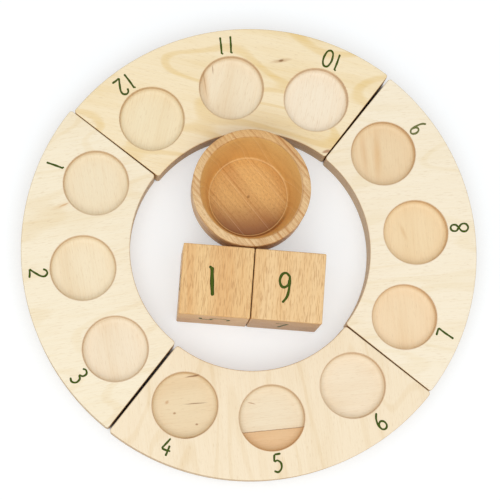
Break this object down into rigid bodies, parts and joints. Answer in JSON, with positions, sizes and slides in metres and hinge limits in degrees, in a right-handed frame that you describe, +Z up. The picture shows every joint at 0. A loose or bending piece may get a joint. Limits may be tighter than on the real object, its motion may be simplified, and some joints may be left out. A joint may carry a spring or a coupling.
{
  "type": "perpetual desk calendar",
  "caption": "Ring of wooden quarters with round month wells, round a turned cup and number cubes that show the day.",
  "frame": {"origin": "centre of the ring on the table, at the bottom of the part", "axes": "+Z up, -Y towards the user, +X to the user's right"},
  "size_m": [0.3006, 0.3006, 0.046],
  "materials": {
    "birch_plywood": "sanded and oiled, silky matt",
    "turned_beech": "turned and oiled, satin",
    "cube_beech": "sanded, matt",
    "green_paint": "hand painted figures, matt"
  },
  "bodies": {
    "front_quarter": {"quarter_apr_jun": "birch_plywood"},
    "left_quarter": {"quarter_jan_mar": "birch_plywood"},
    "back_quarter": {"quarter_oct_dec": "birch_plywood"},
    "right_quarter": {"quarter_jul_sep": "birch_plywood"},
    "cup": {"cup": "turned_beech"},
    "tens_cube": {"tens_cube": "cube_beech"},
    "units_cube": {"units_cube": "cube_beech"}
  },
  "joints": [
    {"name": "left_quarter_draws_out", "type": "slide", "parent": "front_quarter", "child": "left_quarter", "axis": [-0.9925, -0.1219, 0], "range_m": [0, 0.06]},
    {"name": "back_quarter_draws_out", "type": "slide", "parent": "front_quarter", "child": "back_quarter", "axis": [-0.1219, 0.9925, 0], "range_m": [0, 0.06]},
    {"name": "right_quarter_draws_out", "type": "slide", "parent": "front_quarter", "child": "right_quarter", "axis": [0.9925, 0.1219, 0], "range_m": [0, 0.06]},
    {"name": "cup_lifts", "type": "slide", "parent": "front_quarter", "child": "cup", "axis": [0, 0, 1], "range_m": [0, 0.06]},
    {"name": "tens_cube_lifts", "type": "slide", "parent": "front_quarter", "child": "tens_cube", "axis": [0, 0, 1], "range_m": [0, 0.06]},
    {"name": "units_cube_lifts", "type": "slide", "parent": "front_quarter", "child": "units_cube", "axis": [0, 0, 1], "range_m": [0, 0.06]}
  ]
}
